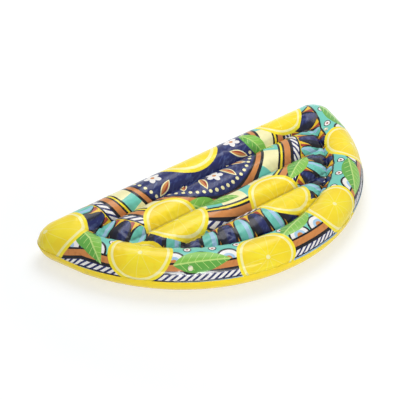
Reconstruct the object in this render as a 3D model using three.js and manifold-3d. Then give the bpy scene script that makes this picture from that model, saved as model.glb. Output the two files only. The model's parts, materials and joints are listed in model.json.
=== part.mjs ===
// Inflatable pool lounger in the shape of half a round slice: a D-shaped ring tube round three long ribs.
// Two sheets of film are welded together round the edge, and strips of film hold them apart inside.
// Millimetres, +Z up: the straight back edge is at +Y, the curved front at -Y, and it stands on Z = 0.
import * as THREE from 'three';
import { mergeVertices } from 'three/addons/utils/BufferGeometryUtils.js';
import Module from 'manifold-3d';

// Outline of the whole lounger, out to the edge of the welded lip
const overallLength = 1760;
const overallDepth = 870;
const arcCentreRise = 91;
const cornerRadius = 92;
const lipWidth = 4;

// Film, welds and the ring tube
const filmThickness = 0.3;
const weldGap = 0.3;
const tubeRadius = 90;
const weldHalfHeight = 38;
const weldCornerRadius = 42;
const restFlatDepth = 0.5;

// Ribs and the strips of film between them
const ribPitchShare = 0.323;
const ribCrown = 44;
const webTabWidth = 8;
const ventRadius = 12;
const ventSpacing = 380;
const webLengthShare = 0.94;

// Valves: a welded flange, a stem that pushes in, a plug on a strap and a flap that lets no air back
const flangeRadius = 16.5;
const flangeThickness = 0.8;
const filmHoleRadius = 11.5;
const stemRadius = 7;
const stemBore = 4.2;
const stemStandsOut = 2.4;
const stemBaseRadius = 9.6;
const stemBaseThickness = 1.2;
const stemTravel = 13;
const runningClearance = 0.5;
const sleeveWall = 0.8;
const strapBand = 1.1;
const strapThickness = 1.6;
const tongueWidth = 5;
const plugCapRadius = 6.8;
const plugCapThickness = 1.4;
const plugDepth = 6.1;
const plugClearance = 0.2;
const hingeOffset = 9;
const flapRadius = 5.4;
const flapThickness = 0.5;
const flapHingeOffset = 6.4;

// One overrun serves every cut
const cutOverrun = 2;

// How finely the forms are divided
const tubeSteps = 6;
const cornerSteps = 5;
const columnShares = [0, 0.21, 0.42, 0.62, 0.83, webLengthShare, 1];
const longRibShares = [0.45, 0.75, 1];
const ribRowShares = [0.2, 0.5, 0.8, 1];
const plugDepthShares = [1, 0.8, 0.5, 0];
const valveSegments = 24;
const holeSegments = 16;
const quarterTurn = Math.PI / 2;

// Film colours and the pale moulded valves
const printedFilm = { color: 0xfbe63a, roughness: 0.28, metalness: 0 };
const yellowFilm = { color: 0xf6d024, roughness: 0.28, metalness: 0 };
const plainFilm = { color: 0xe9e7dc, roughness: 0.35, metalness: 0 };
const softVinyl = { color: 0xf1eeda, roughness: 0.3, metalness: 0 };

const wasm = await Module();
wasm.setup();

const lounger = new THREE.Group();

// Sizes that follow from the ones above
const tubeWidth = tubeRadius + Math.sqrt(tubeRadius ** 2 - weldHalfHeight ** 2);
const weldAngle = Math.PI - Math.asin(weldHalfHeight / tubeRadius);
const midHeight = tubeRadius - restFlatDepth;
const lipTop = weldGap / 2 + filmThickness;
const backEdge = overallDepth / 2;
const arcCentreY = backEdge + arcCentreRise;
const arcHalfDepth = overallDepth + arcCentreRise;
const arcHalfLength = cornerRadius + (overallLength / 2 - cornerRadius)
  / Math.sqrt(1 - ((cornerRadius + arcCentreRise) / (arcHalfDepth - cornerRadius)) ** 2);

function addMesh(name, geometry, look, parent = lounger) {
  const mesh = new THREE.Mesh(geometry, new THREE.MeshStandardMaterial(look));
  mesh.name = name;
  parent.add(mesh);
  return mesh;
}

// Closed geometry to a solid that can be joined and cut, and back
function toSolid(geometry) {
  const bare = geometry.clone();
  bare.deleteAttribute('normal');
  bare.deleteAttribute('uv');
  const merged = mergeVertices(bare);
  const mesh = new wasm.Mesh({
    numProp: 3,
    vertProperties: new Float32Array(merged.attributes.position.array),
    triVerts: new Uint32Array(merged.index.array),
  });
  return new wasm.Manifold(mesh);
}

function toGeometry(solid) {
  const mesh = solid.getMesh();
  const positions = new Float32Array(mesh.vertProperties);
  const geometry = new THREE.BufferGeometry();
  geometry.setAttribute('position', new THREE.BufferAttribute(positions, mesh.numProp));
  geometry.setIndex(new THREE.BufferAttribute(new Uint32Array(mesh.triVerts), 1));
  geometry.computeVertexNormals();
  return geometry;
}

// The D outline, set in from the lip's edge: straight back, elliptical front, and a round corner between
function outline(inset, corner) {
  const halfLength = arcHalfLength - inset;
  const halfDepth = arcHalfDepth - inset;
  const backY = backEdge - inset;
  const cornerY = backY - corner;
  const cornerDrop = (cornerY - arcCentreY) / (halfDepth - corner);
  const cornerAlong = Math.sqrt(1 - cornerDrop ** 2);
  const cornerX = (halfLength - corner) * cornerAlong;
  const turn = Math.atan2(cornerDrop / (halfDepth - corner), cornerAlong / (halfLength - corner));
  // The outline's point whose outward direction makes this angle with +X
  const pointFacing = (angle) => {
    if (angle > turn) {
      return new THREE.Vector2(cornerX + corner * Math.cos(angle), cornerY + corner * Math.sin(angle));
    }
    const around = Math.atan2(halfDepth * Math.sin(angle), halfLength * Math.cos(angle));
    return new THREE.Vector2(halfLength * Math.cos(around), arcCentreY + halfDepth * Math.sin(around));
  };
  const arcX = (y) => halfLength * Math.sqrt(1 - ((y - arcCentreY) / halfDepth) ** 2);
  const arcY = (x) => arcCentreY - halfDepth * Math.sqrt(1 - (x / halfLength) ** 2);
  const facing = (x, y) => Math.atan2((y - arcCentreY) / halfDepth ** 2, x / halfLength ** 2);
  return { backY, cornerX, cornerY, turn, pointFacing, arcX, arcY, facing };
}

const lipEdge = outline(0, cornerRadius);
const seam = outline(lipWidth, cornerRadius - lipWidth);
const weld = outline(lipWidth + tubeWidth, weldCornerRadius);

// Weld lines across the lounger, from back to front, and the rows of points across the ribs
const ribPitch = (weld.backY - weld.arcY(0)) * ribPitchShare;
const longWebY = weld.backY - ribPitch;
const shortWebY = longWebY - ribPitch;

function longRibRows() {
  const rows = [{ y: weld.backY, x: weld.cornerX, facing: quarterTurn }];
  for (let step = 1; step <= cornerSteps; step += 1) {
    const angle = quarterTurn + (weld.turn - quarterTurn) * step / cornerSteps;
    const point = weld.pointFacing(angle);
    rows.push({ y: point.y, x: point.x, facing: angle });
  }
  const cornerEnd = rows[cornerSteps].y;
  for (const share of longRibShares) {
    const y = cornerEnd + (longWebY - cornerEnd) * share;
    rows.push({ y, x: weld.arcX(y), facing: weld.facing(weld.arcX(y), y) });
  }
  return rows;
}

function middleRibRows() {
  return ribRowShares.map((share) => {
    const y = longWebY + (shortWebY - longWebY) * share;
    return { y, x: weld.arcX(y), facing: weld.facing(weld.arcX(y), y) };
  });
}

const longRows = longRibRows();
const middleRows = middleRibRows();
const shortWebX = middleRows[middleRows.length - 1].x;
const columnSteps = columnShares.length - 1;
const columnShare = (column) => Math.sign(column) * columnShares[Math.abs(column)];

// The weld line round the ring as columns: each has its point on the weld and the way that it faces,
// which a column on the left gives as its mirror image on the right does
function ringColumns() {
  const columns = [];
  for (let column = -columnSteps; column <= columnSteps; column += 1) {
    columns.push({ x: columnShare(column) * weld.cornerX, y: weld.backY, back: true });
  }
  const sideRows = [...longRows.slice(1), ...middleRows];
  for (const row of sideRows) columns.push({ x: row.x, y: row.y, facing: row.facing });
  for (let column = columnSteps - 1; column > -columnSteps; column -= 1) {
    const x = columnShare(column) * shortWebX;
    const y = weld.arcY(x);
    columns.push({ x, y, facing: weld.facing(Math.abs(x), y) });
  }
  for (const row of sideRows.reverse()) columns.push({ x: -row.x, y: row.y, facing: row.facing });
  return columns;
}

// The point of a wider outline straight out from a column of the weld line
function outwardPoint(column, wider) {
  if (column.back) return new THREE.Vector2(column.x, wider.backY);
  const point = wider.pointFacing(column.facing);
  return new THREE.Vector2(Math.sign(column.x) * point.x, point.y);
}

const ring = ringColumns();

// A film surface: points are shared by reference, and each face lists its corners
function newSurface() {
  return { points: [], faces: [], numbers: new Map() };
}

function numberOf(surface, point) {
  if (!surface.numbers.has(point)) {
    surface.numbers.set(point, surface.points.length);
    surface.points.push(point);
  }
  return surface.numbers.get(point);
}

function addFace(surface, corners) {
  const numbers = [...new Set(corners.map((point) => numberOf(surface, point)))];
  for (let last = 2; last < numbers.length; last += 1) {
    surface.faces.push([numbers[0], numbers[last - 1], numbers[last]]);
  }
}

function addGrid(surface, rows) {
  for (let row = 1; row < rows.length; row += 1) {
    for (let column = 1; column < rows[row].length; column += 1) {
      addFace(surface, [
        rows[row - 1][column - 1], rows[row][column - 1], rows[row][column], rows[row - 1][column],
      ]);
    }
  }
}

// Height of a rib over its weld lines: a round arch across, which falls to the weld at the rib's ends
const ribArchRadius = (ribPitch ** 2 / 4 + ribCrown ** 2) / (2 * ribCrown);
const ribArchDrop = ribArchRadius - ribCrown;

function ribHeight(width, acrossShare, fromEnd) {
  const ended = width > 0 ? 1 - Math.exp(-Math.PI * fromEnd / width) : 0;
  const bulge = width ** 2 * acrossShare * (1 - acrossShare) * ended;
  return Math.sqrt(ribArchDrop ** 2 + bulge) - ribArchDrop;
}

// How far in from the seam to the weld a point at this angle round the tube lies
function tubeShare(angle) {
  return (1 - Math.cos(angle)) / (1 - Math.cos(weldAngle));
}

// Angles round the tube from the seam to the inner weld, above and below
function topAngles() {
  return Array.from({ length: tubeSteps + 1 }, (_, step) => weldAngle * step / tubeSteps);
}

function bottomAngles() {
  const flatHalfAngle = Math.acos(midHeight / tubeRadius);
  const flatStart = quarterTurn - flatHalfAngle;
  const flatEnd = quarterTurn + flatHalfAngle;
  return [0, flatStart / 3, flatStart * 2 / 3, flatStart, flatEnd, (flatEnd + weldAngle) / 2, weldAngle];
}

// The outer face of one sheet: side is 1 for the top sheet and -1 for the bottom sheet
function sheetSurface(side, angles) {
  const surface = newSurface();
  const level = (height) => midHeight + side * height;
  const lipPoints = [];
  const tubeRows = angles.map(() => []);
  for (const column of ring) {
    const edge = outwardPoint(column, lipEdge);
    const outer = outwardPoint(column, seam);
    lipPoints.push(new THREE.Vector3(edge.x, edge.y, level(lipTop)));
    angles.forEach((angle, row) => {
      const share = tubeShare(angle);
      const height = Math.max(lipTop, tubeRadius * Math.sin(angle));
      tubeRows[row].push(new THREE.Vector3(
        outer.x + (column.x - outer.x) * share, outer.y + (column.y - outer.y) * share, level(height),
      ));
    });
  }
  const closeRow = (row) => [...row, row[0]];
  addGrid(surface, [lipPoints, ...tubeRows].map(closeRow));
  const weldRow = tubeRows[tubeRows.length - 1];
  addRibs(surface, weldRow, level);
  return { surface, tubeRows };
}

// The three ribs inside the ring's weld line, whose points the ribs share
function addRibs(surface, weldRow, level) {
  const backCount = 2 * columnSteps + 1;
  const sideCount = longRows.length - 1 + middleRows.length;
  const frontCount = backCount - 2;
  const rightSide = weldRow.slice(backCount, backCount + sideCount);
  const front = weldRow.slice(backCount + sideCount, backCount + sideCount + frontCount).reverse();
  const leftSide = weldRow.slice(backCount + sideCount + frontCount).reverse();
  const sideRows = [...longRows.slice(1), ...middleRows];
  const grid = [weldRow.slice(0, backCount)];
  sideRows.forEach((row, index) => {
    const inLongRib = index < longRows.length - 1;
    const fromY = inLongRib ? weld.backY : longWebY;
    const line = [leftSide[index]];
    for (let column = 1 - columnSteps; column < columnSteps; column += 1) {
      const x = columnShare(column) * row.x;
      const height = ribHeight(ribPitch, (fromY - row.y) / ribPitch, row.x - Math.abs(x));
      line.push(new THREE.Vector3(x, row.y, level(weldHalfHeight + height)));
    }
    grid.push([...line, rightSide[index]]);
  });
  addGrid(surface, grid);
  addGrid(surface, shortRibRows(grid[grid.length - 1], front, level));
}

// The front rib is a lens between the short web's line and the curved front of the weld line
function shortRibRows(lineRow, front, level) {
  const frontRow = [lineRow[0], ...front, lineRow[lineRow.length - 1]];
  const rows = [lineRow];
  for (const share of ribRowShares.slice(0, -1)) {
    rows.push(lineRow.map((start, column) => {
      const end = frontRow[column];
      if (start === end) return start;
      const width = start.y - end.y;
      const height = ribHeight(width, share, shortWebX - Math.abs(start.x));
      return new THREE.Vector3(start.x, start.y - width * share, level(weldHalfHeight + height));
    }));
  }
  return [...rows, frontRow];
}

// A surface of outer points turned into closed film of even thickness
function filmGeometry(surface, side) {
  const faces = side > 0 ? surface.faces : surface.faces.map(([a, b, c]) => [a, c, b]);
  const outerPositions = surface.points.flatMap((point) => point.toArray());
  const outer = new THREE.BufferGeometry();
  outer.setAttribute('position', new THREE.Float32BufferAttribute(outerPositions, 3));
  outer.setIndex(faces.flat());
  outer.computeVertexNormals();
  const normal = new THREE.Vector3();
  const inner = surface.points.map((point, number) => {
    normal.fromBufferAttribute(outer.attributes.normal, number);
    return point.clone().addScaledVector(normal, -filmThickness);
  });
  const count = surface.points.length;
  const edges = new Set(faces.flatMap(([a, b, c]) => [`${a},${b}`, `${b},${c}`, `${c},${a}`]));
  const all = [];
  for (const [a, b, c] of faces) all.push(a, b, c, a + count, c + count, b + count);
  for (const edge of edges) {
    const [from, to] = edge.split(',').map(Number);
    if (!edges.has(`${to},${from}`)) all.push(from, from + count, to + count, from, to + count, to);
  }
  const film = new THREE.BufferGeometry();
  const positions = [...surface.points, ...inner].flatMap((point) => point.toArray());
  film.setAttribute('position', new THREE.Float32BufferAttribute(positions, 3));
  film.setIndex(all);
  film.computeVertexNormals();
  return film;
}

// Sheets
const top = sheetSurface(1, topAngles());
const bottom = sheetSurface(-1, bottomAngles());

// A valve sits in the middle of one flat patch of the tube, and its group's +Z points straight out
function valveSeat(column, angleStep) {
  const lower = top.tubeRows[angleStep];
  const upper = top.tubeRows[angleStep + 1];
  const corners = [lower[column], lower[column + 1], upper[column + 1], upper[column]];
  const total = corners.reduce((sum, point) => sum.add(point), new THREE.Vector3());
  const centre = total.divideScalar(corners.length);
  const along = corners[1].clone().sub(corners[0]).add(corners[2]).sub(corners[3]).normalize();
  const upwards = corners[2].clone().sub(corners[1]).add(corners[3]).sub(corners[0]);
  const out = along.clone().cross(upwards).normalize();
  if (out.z < 0) out.negate();
  const across = out.clone().cross(along).normalize();
  const place = new THREE.Matrix4().makeBasis(across.clone().cross(out), across, out);
  const seat = new THREE.Group();
  seat.applyMatrix4(place.setPosition(centre));
  return seat;
}

const backColumns = 2 * columnSteps + 1;
const sideColumns = longRows.length - 1 + middleRows.length;
const rightValveColumn = backColumns + cornerSteps - 1;
const frontValveColumn = backColumns + sideColumns + 2 * columnSteps - 3;
const seats = {
  front_valve: valveSeat(frontValveColumn, 1),
  right_valve: valveSeat(rightValveColumn, 4),
};
for (const seat of Object.values(seats)) lounger.add(seat);
lounger.updateMatrixWorld(true);

function topSheetGeometry() {
  let film = toSolid(filmGeometry(top.surface, 1));
  for (const seat of Object.values(seats)) {
    const hole = new THREE.CylinderGeometry(filmHoleRadius, filmHoleRadius, 2 * cutOverrun, holeSegments);
    hole.rotateX(quarterTurn);
    hole.applyMatrix4(seat.matrixWorld);
    film = film.subtract(toSolid(hole));
  }
  return toGeometry(film);
}

addMesh('top_sheet', topSheetGeometry(), printedFilm);
addMesh('bottom_sheet', filmGeometry(bottom.surface, -1), yellowFilm);

// A web is a strip of film on edge, with a tab along its top and bottom that is welded to the sheets
const webHalfHeight = weldHalfHeight - filmThickness - weldGap;

function webSection() {
  const wall = filmThickness / 2;
  const tabUnder = webHalfHeight - filmThickness;
  return [
    [-wall, -webHalfHeight], [webTabWidth, -webHalfHeight], [webTabWidth, -tabUnder], [wall, -tabUnder],
    [wall, tabUnder], [webTabWidth, tabUnder], [webTabWidth, webHalfHeight], [-wall, webHalfHeight],
  ].map(([across, up]) => new THREE.Vector2(across, up));
}

// Sweeps the web's section along a flat path; its tabs point to the left of the way the path runs
function webGeometry(path) {
  const section = webSection();
  const positions = [];
  path.forEach((point, index) => {
    const before = path[Math.max(index - 1, 0)];
    const after = path[Math.min(index + 1, path.length - 1)];
    const incoming = point.clone().sub(before).normalize();
    const outgoing = after.clone().sub(point).normalize();
    const heading = incoming.clone().add(outgoing).normalize();
    const sideways = new THREE.Vector2(-heading.y, heading.x);
    const mitre = index > 0 && index < path.length - 1 ? 1 / heading.dot(incoming) : 1;
    for (const corner of section) {
      const place = point.clone().addScaledVector(sideways, corner.x * mitre);
      positions.push(place.x, place.y, midHeight + corner.y);
    }
  });
  const faces = [];
  const count = section.length;
  for (let step = 1; step < path.length; step += 1) {
    for (let corner = 0; corner < count; corner += 1) {
      const next = (corner + 1) % count;
      const [a, b] = [(step - 1) * count + corner, (step - 1) * count + next];
      faces.push(a, b, b + count, a, b + count, a + count);
    }
  }
  const cap = THREE.ShapeUtils.triangulateShape(section, []);
  const lastRing = (path.length - 1) * count;
  for (const [a, b, c] of cap) faces.push(a, c, b, lastRing + a, lastRing + b, lastRing + c);
  const geometry = new THREE.BufferGeometry();
  geometry.setAttribute('position', new THREE.Float32BufferAttribute(positions, 3));
  geometry.setIndex(faces);
  geometry.computeVertexNormals();
  return geometry;
}

// The back web has vents, so that the ribs fill with the back tube
function backWebGeometry() {
  const left = new THREE.Vector2(weldGap - weld.cornerX, weld.backY);
  const right = new THREE.Vector2(weld.cornerX - weldGap, weld.backY);
  let web = toSolid(webGeometry([left, right]));
  for (const place of [-1, 0, 1]) {
    const vent = new THREE.CylinderGeometry(ventRadius, ventRadius, 2 * cutOverrun, holeSegments);
    vent.translate(place * ventSpacing, weld.backY, midHeight);
    web = web.subtract(toSolid(vent));
  }
  return toGeometry(web);
}

function arcWebPath() {
  const columns = ring.slice(backColumns - 1);
  columns.push(ring[0]);
  return columns.map((column) => new THREE.Vector2(column.x, column.y)).reverse();
}

function ribWebPath(y, halfLength) {
  return [new THREE.Vector2(halfLength, y), new THREE.Vector2(-halfLength, y)];
}

addMesh('back_web', backWebGeometry(), plainFilm);
addMesh('arc_web', webGeometry(arcWebPath()), plainFilm);
const longWebX = longRows[longRows.length - 1].x;
addMesh('long_rib_web', webGeometry(ribWebPath(longWebY, longWebX * webLengthShare)), plainFilm);
addMesh('short_rib_web', webGeometry(ribWebPath(shortWebY, shortWebX * webLengthShare)), plainFilm);

// A chamber wall closes the ring tube across one of its columns, just inside the film
function addChamberWall(name, columnNumber) {
  const column = ring[columnNumber];
  const outer = outwardPoint(column, seam);
  const inwards = new THREE.Vector3(column.x - outer.x, column.y - outer.y, 0);
  const width = inwards.length();
  const shrink = (tubeRadius - filmThickness - 2 * weldGap) / tubeRadius;
  const centre = width * tubeShare(quarterTurn);
  const sectionPoint = (angle, side) => new THREE.Vector2(
    centre + (width * tubeShare(angle) - centre) * shrink, side * tubeRadius * Math.sin(angle) * shrink,
  );
  const below = bottomAngles().slice(1).reverse();
  const shape = new THREE.Shape([
    ...topAngles().map((angle) => sectionPoint(angle, 1)), ...below.map((angle) => sectionPoint(angle, -1)),
  ]);
  const wall = new THREE.ExtrudeGeometry(shape, { depth: filmThickness, bevelEnabled: false });
  wall.translate(0, 0, -filmThickness / 2);
  const across = inwards.normalize();
  const up = new THREE.Vector3(0, 0, 1);
  const place = new THREE.Matrix4().makeBasis(across, up, across.clone().cross(up));
  wall.applyMatrix4(place.setPosition(outer.x, outer.y, midHeight));
  addMesh(name, wall, plainFilm);
}

const wallColumn = backColumns + longRows.length - 2;
addChamberWall('right_chamber_wall', wallColumn);
addChamberWall('left_chamber_wall', ring.length - (wallColumn - backColumns) - 1);

// Heights along a valve's axis, from the top of the film
const flangeTop = -(filmThickness + 2 * weldGap);
const flangeUnderside = flangeTop - flangeThickness;
const stemBaseTop = flangeUnderside - weldGap - stemTravel;
const stemBaseUnderside = stemBaseTop - stemBaseThickness;
const strapTop = stemStandsOut - weldGap;
const plugSeat = stemStandsOut + weldGap;
const hingeHeight = (strapTop + plugSeat) / 2;

function turned(profile) {
  const closed = [...profile, profile[0]].map(([radius, height]) => new THREE.Vector2(radius, height));
  const geometry = new THREE.LatheGeometry(closed.reverse(), valveSegments);
  return geometry.rotateX(quarterTurn);
}

// The flange is welded under the film, and its sleeve guides the stem's base
function flangeGeometry() {
  const hole = stemRadius + 2 * runningClearance;
  const bore = stemBaseRadius + runningClearance;
  return turned([
    [hole, flangeTop], [flangeRadius, flangeTop], [flangeRadius, flangeUnderside],
    [bore + sleeveWall, flangeUnderside], [bore + sleeveWall, stemBaseUnderside], [bore, stemBaseUnderside],
    [bore, flangeUnderside], [hole, flangeUnderside],
  ]);
}

function stemGeometry() {
  return turned([
    [stemBore, stemStandsOut], [stemRadius, stemStandsOut], [stemRadius, stemBaseTop],
    [stemBaseRadius, stemBaseTop], [stemBaseRadius, stemBaseUnderside], [stemBore, stemBaseUnderside],
  ]);
}

// A round plate with a tongue towards +X, which the strap, the plug's cap and the flap all have
function tonguePlate(radius, width, reach, thickness, hole = 0) {
  const halfAngle = Math.asin(width / 2 / radius);
  const shape = new THREE.Shape();
  shape.moveTo(reach, -width / 2);
  shape.lineTo(reach, width / 2);
  shape.lineTo(radius * Math.cos(halfAngle), width / 2);
  shape.absarc(0, 0, radius, halfAngle, 2 * Math.PI - halfAngle, false);
  if (hole > 0) shape.holes.push(new THREE.Path().absarc(0, 0, hole, 0, 2 * Math.PI, true));
  const options = { depth: thickness, bevelEnabled: false, curveSegments: valveSegments };
  return new THREE.ExtrudeGeometry(shape, options);
}

function strapGeometry() {
  const bore = stemRadius + weldGap;
  const plate = tonguePlate(bore + strapBand, tongueWidth, hingeOffset - weldGap, strapThickness, bore);
  return plate.translate(0, 0, strapTop - strapThickness);
}

// The plug's side stays inside the arc that its far edge can swing through in the bore
function plugGeometry() {
  const cap = tonguePlate(plugCapRadius, tongueWidth - 2 * runningClearance, hingeOffset, plugCapThickness);
  cap.translate(0, 0, plugSeat);
  const swing = hingeOffset + stemBore - plugClearance;
  const side = plugDepthShares.map((share) => {
    const height = plugSeat - plugDepth * share;
    return [Math.sqrt(swing ** 2 - (hingeHeight - height) ** 2) - hingeOffset, height];
  });
  const inCap = plugSeat + plugCapThickness / 2;
  const profile = [[0, plugSeat - plugDepth], ...side, [side[side.length - 1][0], inCap], [0, inCap]];
  const stopper = turned(profile.reverse());
  return toGeometry(toSolid(cap).add(toSolid(stopper)));
}

function flapGeometry() {
  const plate = tonguePlate(flapRadius, flapRadius, flapHingeOffset, flapThickness);
  return plate.rotateZ(Math.PI).translate(0, 0, stemBaseUnderside - weldGap - flapThickness);
}

for (const [name, seat] of Object.entries(seats)) {
  addMesh(`${name}_flange`, flangeGeometry(), softVinyl, seat);
  addMesh(`${name}_stem`, stemGeometry(), softVinyl, seat);
  addMesh(`${name}_strap`, strapGeometry(), softVinyl, seat);
  addMesh(`${name}_plug`, plugGeometry(), softVinyl, seat);
  addMesh(`${name}_flap`, flapGeometry(), softVinyl, seat);
}

export default lounger;
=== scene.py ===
import json
import math

import bmesh
import bpy
import numpy as np
from mathutils import Matrix, Vector


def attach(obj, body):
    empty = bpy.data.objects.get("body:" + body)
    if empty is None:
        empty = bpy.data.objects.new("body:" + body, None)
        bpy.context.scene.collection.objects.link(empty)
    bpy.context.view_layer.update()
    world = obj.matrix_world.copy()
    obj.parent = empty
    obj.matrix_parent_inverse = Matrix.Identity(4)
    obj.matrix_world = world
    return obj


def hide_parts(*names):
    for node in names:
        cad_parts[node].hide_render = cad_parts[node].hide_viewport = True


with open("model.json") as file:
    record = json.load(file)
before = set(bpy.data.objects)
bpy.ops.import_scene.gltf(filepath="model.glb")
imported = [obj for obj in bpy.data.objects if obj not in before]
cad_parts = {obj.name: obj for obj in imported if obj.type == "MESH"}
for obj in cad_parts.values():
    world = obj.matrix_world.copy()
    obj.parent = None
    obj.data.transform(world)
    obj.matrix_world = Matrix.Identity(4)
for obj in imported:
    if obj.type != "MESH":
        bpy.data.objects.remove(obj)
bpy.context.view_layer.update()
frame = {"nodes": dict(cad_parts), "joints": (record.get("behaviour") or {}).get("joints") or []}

# Outline out to the edge of the welded lip
OVERALL_LENGTH = 1.76
OVERALL_DEPTH = 0.87
ARC_CENTRE_RISE = 0.091
CORNER_RADIUS = 0.092
LIP_WIDTH = 0.004

# Film, welds, tube and ribs
FILM_THICKNESS = 0.0003
WELD_GAP = 0.0003
TUBE_RADIUS = 0.09
WELD_HALF_HEIGHT = 0.038
WELD_CORNER_RADIUS = 0.042
REST_FLAT_DEPTH = 0.0005
RIB_PITCH_SHARE = 0.323
RIB_CROWN = 0.044
RIB_SHOULDER = 0.042
RIB_END_SHOULDER = 0.016
RIB_END_REACH = 0.12
WEB_LENGTH_SHARE = 0.94

# Valves, whose seats are flat patches of the tube
FLANGE_RADIUS = 0.0165
FILM_HOLE_RADIUS = 0.0115
HOLE_MARGIN = 0.0008
STEM_STANDS_OUT = 0.0024
SEAT_BLEND_RADIUS = 0.036
SEAT_SEARCH_RADIUS = 1.5 * SEAT_BLEND_RADIUS
SEAT_RIM_HEIGHT = 0.0003
SEAT_REFINE_RADII = (0.042, 0.03, 0.021)

# Fineness of the film
BACK_STEPS = 192
CORNER_STEPS = 9
FIRST_RIB_STEPS = 18
RIB_STEPS = 26
TUBE_STEPS = 28
CROWDING_SHARE = 0.4

# The solution for the ribs' form: most rounds, the rest at which it ends, and smallest divisor
SOLVER_ROUNDS = 600
SOLVER_REST = 1e-16
TINY = 1e-12

# The distance from a weld that stands for points on other parts of the film
FAR_AWAY = 1.0

# Where the film gathers most, in x and y: round the ring's inner corners and toward its curved ends
INNER_CORNER, INNER_CORNER_REACH = (0.66, 0.27), (0.16, 0.14)
ENDS_START, ENDS_FADE = (0.25, 0.30), (0.25, 0.12)

# Folds across a weld: their wave lengths, how close to it they rise and how far out they fade
SEAM_FOLDS = ((0.021, 0.033, 0.047), 0.006, 0.03)
RING_FOLDS = ((0.041, 0.063, 0.078), 0.008, 0.035)
RIB_END_FOLDS = ((0.019, 0.031, 0.052), 0.005, 0.03)
WEB_FOLDS = ((0.029, 0.043, 0.071), 0.004, 0.022)
SEAM_FOLD_DEPTH, SEAM_CORNER_DEPTH = 0.00012, 0.001
RING_FOLD_DEPTH, RING_END_DEPTH = 0.0006, 0.0035
RIB_END_FOLD_DEPTH = 0.0011
WEB_FOLD_DEPTH = 0.0007
WEB_FOLD_SHIFT = 0.2
FOLD_SEED = 11

# How slack the film is cut near its welds, as shares of the most, and how far out that goes
RING_SLACK_SHARE, RING_END_SLACK_SHARE, RING_SLACK_REACH = 0.25, 0.75, 0.05
WEB_SLACK_SHARE, WEB_END_SLACK_SHARE, WEB_SLACK_REACH = 0.2, 0.5, 0.03
SEAM_SLACK_SHARE, SEAM_SLACK_REACH = 0.06, 0.05

# The film under air pressure, as the cloth simulation takes it
AIR_FRAMES = 20
AIR_PRESSURE = 15
AIR_DAMPING = 2
CLOTH_QUALITY = 4
FILM_STIFFNESS = 180
FILM_SHEAR_STIFFNESS = 60
FILM_BENDING = 0.03
POINT_MASS = 0.001
SLACK_AT_WELDS = 0.045
SLACK_ELSEWHERE = 0.002
LARGEST_MOVE = 0.014

# Camera, fitted to the outline in the photograph
CAMERA_AZIMUTH = -39.648
CAMERA_ELEVATION = 35.719
CAMERA_DISTANCE = 5.9745
FOCAL_PIXELS = 1298.78
FRAME_PIXELS = 400
SENSOR_WIDTH = 36.0
AIM_POINT = (0.0, -0.0047, 0.09)
AIM_RIGHT = -0.196
AIM_UP = 0.0441

# Studio: a soft lamp behind, a long low one in front, one that only gloss shows, and a white floor
KEY_PLACE, KEY_SIZE, KEY_POWER = (0.9, 1.0, 3.2), (2.2, 2.2), 64
FRONT_PLACE, FRONT_SIZE, FRONT_POWER = (-1.1, -3.3, 0.64), (2.6, 0.3), 38
GLOSS_PLACE, GLOSS_SIZE, GLOSS_POWER = (-2.4, -2.9, 0.75), (1.7, 0.8), 200
LAMP_AIM = (-0.3, -0.25, 0.12)
WORLD_STRENGTH = 0.5
FLOOR_SIZE = 30
FLOOR_DROP = 0.0004
FLOOR_BASE = (0.48, 0.50, 0.52, 1)
FLOOR_ROUGHNESS, FLOOR_SPECULAR = 0.9, 0.1
FLOOR_GLOW = 0.22
FLOOR_LIFT = 0.34
FLOOR_FAR_LIFT = 0.5
FLOOR_FAR_START, FLOOR_FAR_REACH = 1.1, 2.5
PLAIN_WHITE = (1, 1, 1, 1)

# Sizes that follow
TUBE_WIDTH = TUBE_RADIUS + math.sqrt(TUBE_RADIUS**2 - WELD_HALF_HEIGHT**2)
WELD_ANGLE = math.pi - math.asin(WELD_HALF_HEIGHT / TUBE_RADIUS)
TUBE_FILM_WIDTH = TUBE_RADIUS * WELD_ANGLE
MID_HEIGHT = TUBE_RADIUS - REST_FLAT_DEPTH
LIP_TOP = WELD_GAP / 2 + FILM_THICKNESS
BACK_EDGE = OVERALL_DEPTH / 2
ARC_CENTRE_Y = BACK_EDGE + ARC_CENTRE_RISE
ARC_HALF_DEPTH = OVERALL_DEPTH + ARC_CENTRE_RISE
CORNER_SLOPE = (CORNER_RADIUS + ARC_CENTRE_RISE) / (ARC_HALF_DEPTH - CORNER_RADIUS)
ARC_HALF_LENGTH = CORNER_RADIUS + (OVERALL_LENGTH / 2 - CORNER_RADIUS) / math.sqrt(1 - CORNER_SLOPE**2)


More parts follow.
